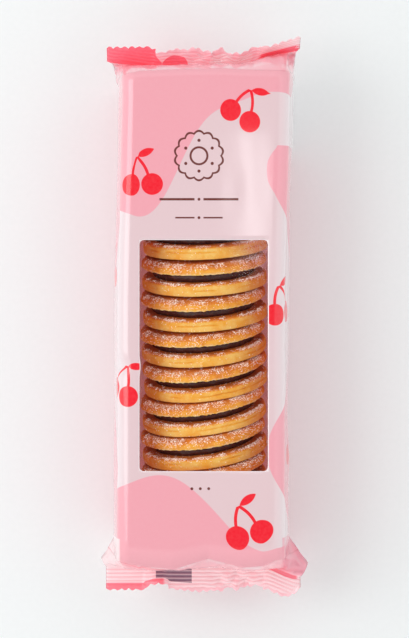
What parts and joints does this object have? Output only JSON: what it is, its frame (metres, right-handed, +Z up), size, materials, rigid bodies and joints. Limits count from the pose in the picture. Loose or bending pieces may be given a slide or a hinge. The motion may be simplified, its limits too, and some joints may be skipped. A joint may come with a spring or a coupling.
{
  "type": "flow-wrapped pack of jam sandwich biscuits",
  "caption": "Sealed flow-wrap pack with crimped ends and a clear window onto a row of round jam-filled sandwich biscuits in a tray.",
  "frame": {"origin": "middle of the pack's bounding box at the level of the surface it lies on", "axes": "+X across the pack, +Y along it to the raised end seal, +Z up through the window"},
  "size_m": [0.0805, 0.2176, 0.0526],
  "materials": {
    "printed_film": "glossy printed film, pale and mid pink with red fruit motifs",
    "clear_film": "clear glossy film",
    "clear_tray": "thin clear moulded plastic",
    "biscuit": "baked shortcrust biscuit with browned edges and sugar crystals",
    "jam": "dark glossy jam"
  },
  "bodies": {
    "root": {"wrapper": "printed_film", "window_film": "clear_film", "tray": "clear_tray", "biscuit_1_top": "biscuit", "jam_1": "jam", "biscuit_1_bottom": "biscuit", "biscuit_2_top": "biscuit", "jam_2": "jam", "biscuit_2_bottom": "biscuit", "biscuit_3_top": "biscuit", "jam_3": "jam", "biscuit_3_bottom": "biscuit", "biscuit_4_top": "biscuit", "jam_4": "jam", "biscuit_4_bottom": "biscuit", "biscuit_5_top": "biscuit", "jam_5": "jam", "biscuit_5_bottom": "biscuit", "biscuit_6_top": "biscuit", "jam_6": "jam", "biscuit_6_bottom": "biscuit", "biscuit_7_top": "biscuit", "jam_7": "jam", "biscuit_7_bottom": "biscuit", "biscuit_8_top": "biscuit", "jam_8": "jam", "biscuit_8_bottom": "biscuit"}
  },
  "joints": []
}
